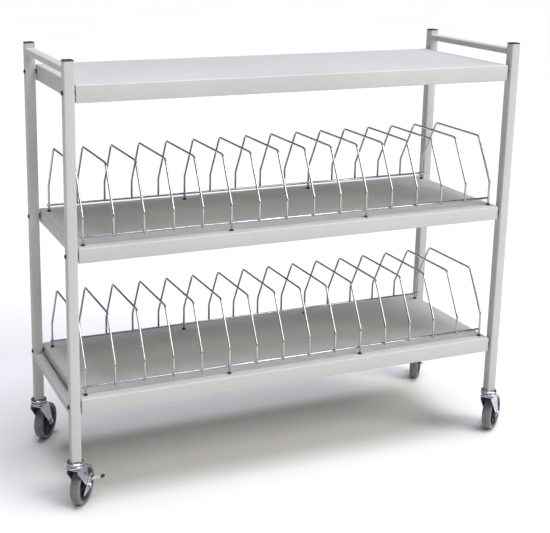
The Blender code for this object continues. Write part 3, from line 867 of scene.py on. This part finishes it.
def make_wheel(corner, place, trail, axle_z):
    """Tyre with round shoulders on a ribbed hub."""
    along_y = place @ axle_turn(trail, axle_z)
    outer = axle_z - 0.0001
    half = 0.0127
    depth = 0.0095
    rim = outer - depth
    soft = 0.0052
    bm = bmesh.new()
    profile = [(rim + 0.0001, half - 0.0022), (rim + 0.0012, half - 0.0008)]
    profile += arc((outer - soft - 0.0004, half - soft), soft, 96, 14, 8)
    profile += [(outer, half - soft - 0.003), (outer, -half + soft + 0.003)]
    profile += arc((outer - soft - 0.0004, -half + soft), soft, -14, -96, 8)
    profile += [(rim + 0.0012, -half + 0.0008), (rim + 0.0001, -half + 0.0022)]
    add_turned(bm, profile, WHEEL_STEPS)
    piece(f"caster_tyre_{corner}_tread", bm, TYRE, f"wheel_{corner}",
          (f"caster_tyre_{corner}",), along_y, 40)

    bm = bmesh.new()
    bore = 0.0043
    side = [
        (bore, half + 0.0010),
        (0.0086, half + 0.0012),
        (0.0098, half + 0.0004),
        (0.0106, 0.0092),
        (0.0122, 0.0062),
        (0.0160, 0.0050),
        (rim - 0.0092, 0.0054),
        (rim - 0.0062, 0.0070),
        (rim - 0.0046, half - 0.0026),
        (rim - 0.0036, half - 0.0014),
        (rim - 0.0008, half - 0.0014),
        (rim - 0.0001, half - 0.0022),
    ]
    add_turned(bm, side + [(r, -z) for r, z in reversed(side)], WHEEL_STEPS)
    hub = 0.0095
    ribs = 6
    for i in range(ribs):
        turn = Matrix.Rotation(2 * math.pi * i / ribs, 4, "Z") @ Matrix.Rotation(math.pi / 2, 4, "X")
        for facing in (-1, 1):
            low, high = sorted((facing * 0.0040, facing * 0.0092))
            outline = [(hub, -0.0012), (rim - 0.0050, -0.0009), (rim - 0.0050, 0.0009), (hub, 0.0012)]
            add_prism(bm, outline, low, high, turn)
    piece(f"caster_hub_{corner}_moulding", bm, HUB, f"wheel_{corner}",
          (f"caster_hub_{corner}",), along_y, 35)


def hexagon(across_flats, steps=6):
    """Outline of a hex head or nut."""
    reach = across_flats / 2 / math.cos(math.pi / steps)
    return [(reach * math.cos(2 * math.pi * (i + 0.5) / steps),
             reach * math.sin(2 * math.pi * (i + 0.5) / steps)) for i in range(steps)]


def make_axle(corner, place, trail, axle_z, outer):
    """Axle bolt: washer and hex head on the near side, washer, nut and
    thread end on the far side."""
    along_y = place @ axle_turn(trail, axle_z)
    face = outer + 0.0003
    head = face + (BRAKE_SPACE if f"brake_{corner}" in JOINTS else 0.0)
    shank = 0.0039
    bm = bmesh.new()
    profile = [
        (0, head + 0.0010),
        (0.0062, head + 0.0010),
        (0.0067, head + 0.0006),
        (0.0066, head + 0.0001),
        (shank, head + 0.0001),
        (shank, -face - 0.0001),
        (0.0064, -face - 0.0001),
        (0.0065, -face - 0.0005),
        (0.0064, -face - 0.0009),
        (0.0030, -face - 0.0009),
        (0.0028, -face - 0.0056),
        (0.0022, -face - 0.0061),
        (0, -face - 0.0061),
    ]
    add_turned(bm, profile, 32)
    for low, high in ((head + 0.0011, head + 0.0044), (-face - 0.0045, -face - 0.0010)):
        flats = hexagon(0.0104)
        rings = []
        for shrink, z in ((0.93, low), (1.0, low + 0.0004), (1.0, high - 0.0006), (0.88, high)):
            rings.append([Vector((x * shrink, y * shrink, z)) for x, y in flats])
        add_rings(bm, rings)
    piece(f"caster_axle_{corner}_bolt", bm, ZINC, f"swivel_{corner}",
          (f"caster_axle_{corner}",), along_y, 30)


def hull_outline(circles, steps):
    """Outline of the shape a string makes when pulled round some circles."""
    points = []
    for x, z, radius in circles:
        for i in range(steps):
            angle = 2 * math.pi * i / steps
            points.append((x + radius * math.cos(angle), z + radius * math.sin(angle)))
    points.sort()

    def half(row):
        """Points of one side of the hull, in order."""
        kept = []
        for point in row:
            while len(kept) > 1 and ((kept[-1][0] - kept[-2][0]) * (point[1] - kept[-2][1])
                                     - (kept[-1][1] - kept[-2][1]) * (point[0] - kept[-2][0])) <= 1e-12:
                kept.pop()
            kept.append(point)
        return kept[:-1]

    return half(points) + half(reversed(points))


def square_axes(ahead):
    """Two directions square to a heading, the first one level."""
    flat = ahead.cross(Vector((0, 0, 1))).normalized()
    return flat, flat.cross(ahead).normalized()


def make_brake(corner, place, trail, axle_z, outer):
    """Side lever on the axle: a plate outside one blade of the fork, and a
    bar that leans out and back to a ribbed rubber pad."""
    node = f"brake_pedal_{corner}"
    body = f"pedal_{corner}"
    place = place @ Matrix.Translation((trail, 0, axle_z))
    low = -outer - BRAKE_SPACE
    high = -outer - 0.0004
    # Rounds of the plate: the eye on the axle, the toe and the heel.
    rounds = ((0.0, 0.0, 0.0100), (-0.0270, -0.0115, 0.0042), (0.0120, 0.0240, 0.0045))
    outline = hull_outline(rounds, 40)
    bm = bmesh.new()
    add_prism(bm, outline, low, high, Matrix.Identity(4))
    lever = piece(f"{node}_plate", bm, ZINC, body, (node,), place, 30)
    eye = bmesh.new()
    turn = Matrix.Rotation(math.pi / 2, 4, "X")
    add_turned(eye, [(0, 0.03), (0.0045, 0.03), (0.0045, 0.01), (0, 0.01)], 32, turn)
    cut(lever, eye, "eye", place)
    round_edges(lever, 0.0004)

    root = Vector((0.0078, (low + high) / 2 - 0.0002, 0.0092))
    tip = Vector((0.0340, -0.0375, 0.0099))
    path = smooth_corner_path([root, root + Vector((0.0075, -0.0012, 0.0001)), tip], 0.006, 6)
    rings = []
    for i, point in enumerate(path):
        ahead = (path[min(i + 1, len(path) - 1)] - path[max(i - 1, 0)]).normalized()
        flat, upright = square_axes(ahead)
        rings.append([point + flat * a + upright * b
                      for a, b in rounded_rectangle(0.0009, 0.0031, 0.0007, 3)])
    bm = bmesh.new()
    add_rings(bm, rings)
    piece(f"{node}_bar", bm, ZINC, body, (), place, 40)

    bm = bmesh.new()
    ahead = (tip - root).normalized()
    flat, upright = square_axes(ahead)
    centre = Vector((0.0362, -0.0394, 0.0099))
    half_length = 0.0062
    rings = []
    count = 22
    for i in range(count + 1):
        t = -1 + 2 * i / count
        swell = max(1 - abs(t) ** 5, 0.02) ** 0.5
        groove = 0.90 if 3 < i < count - 2 and i % 4 == 1 else 1.0
        size = swell * groove
        rings.append([centre + ahead * half_length * t + flat * a * size + upright * b * size
                      for a, b in rounded_rectangle(0.0036, 0.0040, 0.0022, 5)])
    add_rings(bm, rings)
    piece(f"{node}_pad", bm, GRIP, body, (), place, 30)


def make_casters():
    """Each caster at its joints' places, with a brake where it has one."""
    for corner in CORNERS:
        place, trail, axle_z = caster_place(corner)
        make_race(corner, place)
        outer = make_fork(corner, place, trail, axle_z)
        make_wheel(corner, place, trail, axle_z)
        make_axle(corner, place, trail, axle_z, outer)
        if f"brake_{corner}" in JOINTS:
            make_brake(corner, place, trail, axle_z, outer)


# ---------------------------------------------------------------- studio

def make_floor():
    """One large plane just under the wheels."""
    bm = bmesh.new()
    bmesh.ops.create_grid(bm, x_segments=1, y_segments=1, size=60.0)
    mesh = bpy.data.meshes.new("studio_floor")
    bm.to_mesh(mesh)
    bm.free()
    mesh.materials.append(floor_material())
    floor = bpy.data.objects.new("studio_floor", mesh)
    bpy.context.scene.collection.objects.link(floor)
    floor.location.z = -0.0004


def make_light(name, kind, location, target, energy, size, colour=(1, 1, 1)):
    """Lamp aimed at a target. The size is a sun's angle or an area's two sides."""
    data = bpy.data.lights.new(name, kind)
    data.energy = energy
    data.color = colour
    if kind == "AREA":
        data.shape = "RECTANGLE"
        data.size, data.size_y = size
    else:
        data.angle = math.radians(size)
    light = bpy.data.objects.new(name, data)
    bpy.context.scene.collection.objects.link(light)
    light.location = location
    light.rotation_euler = (Vector(target) - Vector(location)).to_track_quat("-Z", "Y").to_euler()


def make_studio():
    """Floor, dim sky, two wide suns and two softboxes."""
    make_floor()
    world = bpy.data.worlds.new("studio")
    bpy.context.scene.world = world
    world.use_nodes = True
    sky = world.node_tree.nodes["Background"]
    sky.inputs["Color"].default_value = (0.90, 0.95, 1.0, 1)
    sky.inputs["Strength"].default_value = 0.11
    make_light("top_sun", "SUN", (0.3, -0.5, 5), (0, 0, 0), 3.3, 42, (0.94, 0.97, 1.08))
    make_light("key_sun", "SUN", (2.6, -4.0, 4.3), (0, 0, 0.6), 1.48, 28, (1.03, 1.0, 0.965))
    make_light("right_softbox", "AREA", (2.6, -1.8, 1.8), (0.2, 0, 0.7), 24, (0.6, 2.2))
    make_light("left_softbox", "AREA", (-3.0, -2.6, 2.2), (-0.2, 0, 0.7), 4, (0.14, 2.2))


def make_camera():
    """The photograph's station: to the left of the cart, in front and a
    little above it, turned right and tipped down."""
    low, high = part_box("shelf_top")
    cart = (low + high) / 2
    data = bpy.data.cameras.new("camera")
    camera = bpy.data.objects.new("camera", data)
    bpy.context.scene.collection.objects.link(camera)
    camera.location = (cart.x - 1.2308, cart.y - 2.6164, 1.4270)
    heading = Matrix.Rotation(math.radians(-21.801), 3, "Z")
    tip = Matrix.Rotation(math.radians(90 - 13.247), 3, "X")
    roll = Matrix.Rotation(math.radians(0.533), 3, "Z")
    camera.rotation_euler = (heading @ tip @ roll).to_euler()
    data.sensor_width = 36.0
    data.lens = 72.38
    data.shift_x = 0.1218
    data.shift_y = -0.1573
    data.clip_start = 0.05
    data.clip_end = 200
    bpy.context.scene.camera = camera


make_frame()
for corner in CORNERS:
    make_cap(corner)
    for shelf in SHELVES:
        make_bolt(shelf, corner)
for shelf in SHELVES:
    make_shelf(shelf)
for shelf in RACKS:
    make_rack(shelf)
make_casters()
for corner in CORNERS:
    # The inserts sit inside the legs and keep their CAD shape.
    materials = frame["nodes"][f"leg_insert_{corner}"].data.materials
    materials.clear()
    materials.append(CAP)
make_studio()
make_camera()
bpy.context.scene.view_settings.view_transform = "Standard"
